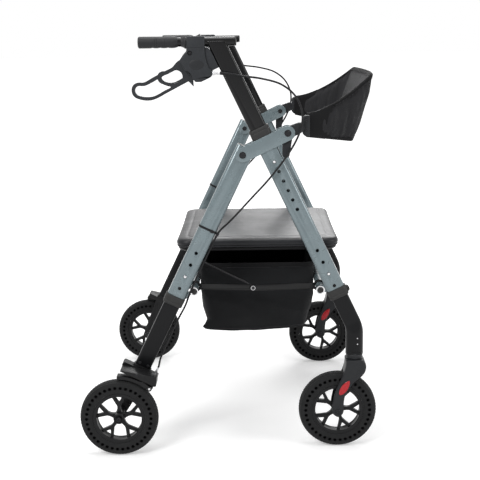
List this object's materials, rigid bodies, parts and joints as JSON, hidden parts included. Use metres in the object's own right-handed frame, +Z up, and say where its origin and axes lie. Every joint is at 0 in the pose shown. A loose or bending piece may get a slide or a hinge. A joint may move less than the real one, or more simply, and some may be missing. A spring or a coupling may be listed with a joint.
{
  "type": "rollator",
  "caption": "Folding rollator walking aid: leaning tube frame on swivelling and fixed wheels, padded seat, fabric bag, backrest band, height-adjustable handles with loop brake levers.",
  "frame": {"origin": "on the floor, midway between the front and the rear axles and between the two sides", "axes": "+X is the way the walker faces, +Y is the walker's left, +Z is up"},
  "size_m": [0.7665, 0.79, 1.0533],
  "materials": {
    "frame_paint": "satin metallic blue-grey paint on aluminium tube",
    "gloss_black": "gloss black paint",
    "satin_black": "satin black coating",
    "black_steel": "black coated steel",
    "grey_plastic": "moulded dark grey plastic",
    "grip_rubber": "soft moulded grip",
    "tyre_rubber": "solid soft tyre",
    "rim_plastic": "moulded black plastic",
    "reflector_red": "clear red over a prism back",
    "steel": "bright steel",
    "vinyl": "skin of moulded seat foam",
    "bag_cloth": "black woven polyester",
    "band_cloth": "dark grey woven cloth over foam",
    "cable_black": "black sleeve over steel wire"
  },
  "bodies": {
    "root": {"front_frame_r": "frame_paint", "front_frame_l": "frame_paint", "handle_collar_r": "grey_plastic", "handle_collar_l": "grey_plastic", "front_leg_collar_r": "grey_plastic", "front_leg_collar_l": "grey_plastic", "front_cross_tube": "frame_paint", "front_seat_rail": "frame_paint", "bag": "bag_cloth", "brake_cable_r": "cable_black", "brake_cable_l": "cable_black"},
    "rear": {"rear_tube_r": "frame_paint", "rear_tube_l": "frame_paint", "rear_leg_collar_r": "grey_plastic", "rear_leg_collar_l": "grey_plastic", "rear_cross_tube": "frame_paint", "rear_seat_rail": "frame_paint"},
    "brace_front": {"brace_bar_front_r": "gloss_black", "brace_bar_front_l": "gloss_black"},
    "brace_rear": {"brace_bar_rear_r": "gloss_black", "brace_bar_rear_l": "gloss_black"},
    "seat": {"seat_pan": "satin_black", "seat_cushion": "vinyl"},
    "backrest": {"backrest_band": "band_cloth", "backrest_bracket_r": "grey_plastic", "backrest_bracket_l": "grey_plastic"},
    "handle_r": {"handle_post_r": "gloss_black", "grip_r": "grip_rubber", "brake_housing_r": "grey_plastic"},
    "lever_r": {"brake_lever_r": "grey_plastic"},
    "front_leg_r": {"front_leg_r": "satin_black"},
    "caster_r": {"caster_fork_r": "grey_plastic", "fork_reflector_r": "reflector_red"},
    "front_wheel_r": {"front_rim_r": "rim_plastic", "front_tyre_r": "tyre_rubber"},
    "rear_leg_r": {"rear_leg_r": "satin_black", "rear_wheel_bracket_r": "black_steel"},
    "brake_shoe_r": {"brake_shoe_r": "black_steel"},
    "rear_wheel_r": {"rear_rim_r": "rim_plastic", "rear_tyre_r": "tyre_rubber"},
    "handle_button_r": {"handle_button_r": "steel"},
    "front_leg_button_r": {"front_leg_button_r": "steel"},
    "rear_leg_button_r": {"rear_leg_button_r": "steel"},
    "handle_l": {"handle_post_l": "gloss_black", "grip_l": "grip_rubber", "brake_housing_l": "grey_plastic"},
    "lever_l": {"brake_lever_l": "grey_plastic"},
    "front_leg_l": {"front_leg_l": "satin_black"},
    "caster_l": {"caster_fork_l": "grey_plastic", "fork_reflector_l": "reflector_red"},
    "front_wheel_l": {"front_rim_l": "rim_plastic", "front_tyre_l": "tyre_rubber"},
    "rear_leg_l": {"rear_leg_l": "satin_black", "rear_wheel_bracket_l": "black_steel"},
    "brake_shoe_l": {"brake_shoe_l": "black_steel"},
    "rear_wheel_l": {"rear_rim_l": "rim_plastic", "rear_tyre_l": "tyre_rubber"},
    "handle_button_l": {"handle_button_l": "steel"},
    "front_leg_button_l": {"front_leg_button_l": "steel"},
    "rear_leg_button_l": {"rear_leg_button_l": "steel"}
  },
  "joints": [
    {"name": "rear_fold", "type": "hinge", "parent": "root", "child": "rear", "pos_m": [0.04467, 0, 0.76376], "axis": [0, -1, 0], "range_deg": [0, 28], "deforming": ["bag", "brake_cable_r", "brake_cable_l"]},
    {"name": "brace_front_swing", "type": "hinge", "parent": "root", "child": "brace_front", "pos_m": [0.23647, 0, 0.416], "axis": [0, 1, 0], "range_deg": [0, 50]},
    {"name": "brace_rear_swing", "type": "hinge", "parent": "rear", "child": "brace_rear", "pos_m": [-0.08433, 0, 0.416], "axis": [0, -1, 0], "range_deg": [0, 52.5]},
    {"name": "seat_lift", "type": "hinge", "parent": "root", "child": "seat", "pos_m": [0.24422, 0, 0.4865], "axis": [0, 1, 0], "range_deg": [0, 54.6]},
    {"name": "backrest_flip", "type": "hinge", "parent": "root", "child": "backrest", "pos_m": [0.15551, 0, 0.81592], "axis": [0, -1, 0], "range_deg": [0, 60]},
    {"name": "handle_height_r", "type": "slide", "parent": "root", "child": "handle_r", "axis": [-0.4258, 0, 0.9048], "range_m": [-0.131, 0], "deforming": ["brake_cable_r", "handle_button_r"]},
    {"name": "front_leg_height_r", "type": "slide", "parent": "root", "child": "front_leg_r", "axis": [-0.4258, 0, 0.9048], "range_m": [-0.0335, 0.067], "deforming": ["front_leg_button_r"]},
    {"name": "rear_leg_height_r", "type": "slide", "parent": "rear", "child": "rear_leg_r", "axis": [0.4394, 0, 0.8983], "range_m": [-0.0335, 0.067], "deforming": ["brake_cable_r", "rear_leg_button_r"]},
    {"name": "brake_lever_pull_r", "type": "hinge", "parent": "handle_r", "child": "lever_r", "pos_m": [-0.062, -0.331, 0.982], "axis": [0, 1, 0], "range_deg": [0, 18], "stiffness_Nm_per_rad": 2, "springref_deg": -17.19},
    {"name": "brake_shoe_swing_r", "type": "hinge", "parent": "rear_leg_r", "child": "brake_shoe_r", "pos_m": [-0.20044, -0.376, 0.17732], "axis": [0, -1, 0], "range_deg": [0, 1.65]},
    {"name": "caster_swivel_r", "type": "hinge", "parent": "front_leg_r", "child": "caster_r", "pos_m": [0.3228, -0.331, 0.2362], "axis": [0, 0, 1], "continuous": true},
    {"name": "front_wheel_spin_r", "type": "hinge", "parent": "caster_r", "child": "front_wheel_r", "pos_m": [0.28, -0.331, 0.1], "axis": [0, 1, 0], "continuous": true},
    {"name": "rear_wheel_spin_r", "type": "hinge", "parent": "rear_leg_r", "child": "rear_wheel_r", "pos_m": [-0.28, -0.376, 0.1], "axis": [0, 1, 0], "continuous": true},
    {"name": "handle_button_press_r", "type": "slide", "parent": "handle_r", "child": "handle_button_r", "axis": [0, 1, 0], "range_m": [0, 0.0035], "stiffness_N_per_m": 500, "springref_m": -0.004},
    {"name": "front_leg_button_press_r", "type": "slide", "parent": "front_leg_r", "child": "front_leg_button_r", "axis": [0, 1, 0], "range_m": [0, 0.0035], "stiffness_N_per_m": 500, "springref_m": -0.004},
    {"name": "rear_leg_button_press_r", "type": "slide", "parent": "rear_leg_r", "child": "rear_leg_button_r", "axis": [0, 1, 0], "range_m": [0, 0.0035], "stiffness_N_per_m": 500, "springref_m": -0.004},
    {"name": "handle_height_l", "type": "slide", "parent": "root", "child": "handle_l", "axis": [-0.4258, 0, 0.9048], "range_m": [-0.131, 0], "deforming": ["brake_cable_l", "handle_button_l"]},
    {"name": "front_leg_height_l", "type": "slide", "parent": "root", "child": "front_leg_l", "axis": [-0.4258, 0, 0.9048], "range_m": [-0.0335, 0.067], "deforming": ["front_leg_button_l"]},
    {"name": "rear_leg_height_l", "type": "slide", "parent": "rear", "child": "rear_leg_l", "axis": [0.4394, 0, 0.8983], "range_m": [-0.0335, 0.067], "deforming": ["brake_cable_l", "rear_leg_button_l"]},
    {"name": "brake_lever_pull_l", "type": "hinge", "parent": "handle_l", "child": "lever_l", "pos_m": [-0.062, 0.331, 0.982], "axis": [0, 1, 0], "range_deg": [0, 18], "stiffness_Nm_per_rad": 2, "springref_deg": -17.19},
    {"name": "brake_shoe_swing_l", "type": "hinge", "parent": "rear_leg_l", "child": "brake_shoe_l", "pos_m": [-0.20044, 0.376, 0.17732], "axis": [0, -1, 0], "range_deg": [0, 1.65]},
    {"name": "caster_swivel_l", "type": "hinge", "parent": "front_leg_l", "child": "caster_l", "pos_m": [0.3228, 0.331, 0.2362], "axis": [0, 0, 1], "continuous": true},
    {"name": "front_wheel_spin_l", "type": "hinge", "parent": "caster_l", "child": "front_wheel_l", "pos_m": [0.28, 0.331, 0.1], "axis": [0, 1, 0], "continuous": true},
    {"name": "rear_wheel_spin_l", "type": "hinge", "parent": "rear_leg_l", "child": "rear_wheel_l", "pos_m": [-0.28, 0.376, 0.1], "axis": [0, 1, 0], "continuous": true},
    {"name": "handle_button_press_l", "type": "slide", "parent": "handle_l", "child": "handle_button_l", "axis": [0, -1, 0], "range_m": [0, 0.0035], "stiffness_N_per_m": 500, "springref_m": -0.004},
    {"name": "front_leg_button_press_l", "type": "slide", "parent": "front_leg_l", "child": "front_leg_button_l", "axis": [0, -1, 0], "range_m": [0, 0.0035], "stiffness_N_per_m": 500, "springref_m": -0.004},
    {"name": "rear_leg_button_press_l", "type": "slide", "parent": "rear_leg_l", "child": "rear_leg_button_l", "axis": [0, -1, 0], "range_m": [0, 0.0035], "stiffness_N_per_m": 500, "springref_m": -0.004}
  ],
  "couplings": [
    {"joint": "brace_front_swing", "follows": "rear_fold", "ratio": 1.7787},
    {"joint": "brace_rear_swing", "follows": "rear_fold", "ratio": 1.8667},
    {"joint": "seat_lift", "follows": "rear_fold", "ratio": 1.9429},
    {"joint": "brake_shoe_swing_r", "follows": "brake_lever_pull_r", "ratio": 0.09},
    {"joint": "brake_shoe_swing_l", "follows": "brake_lever_pull_l", "ratio": 0.09}
  ]
}
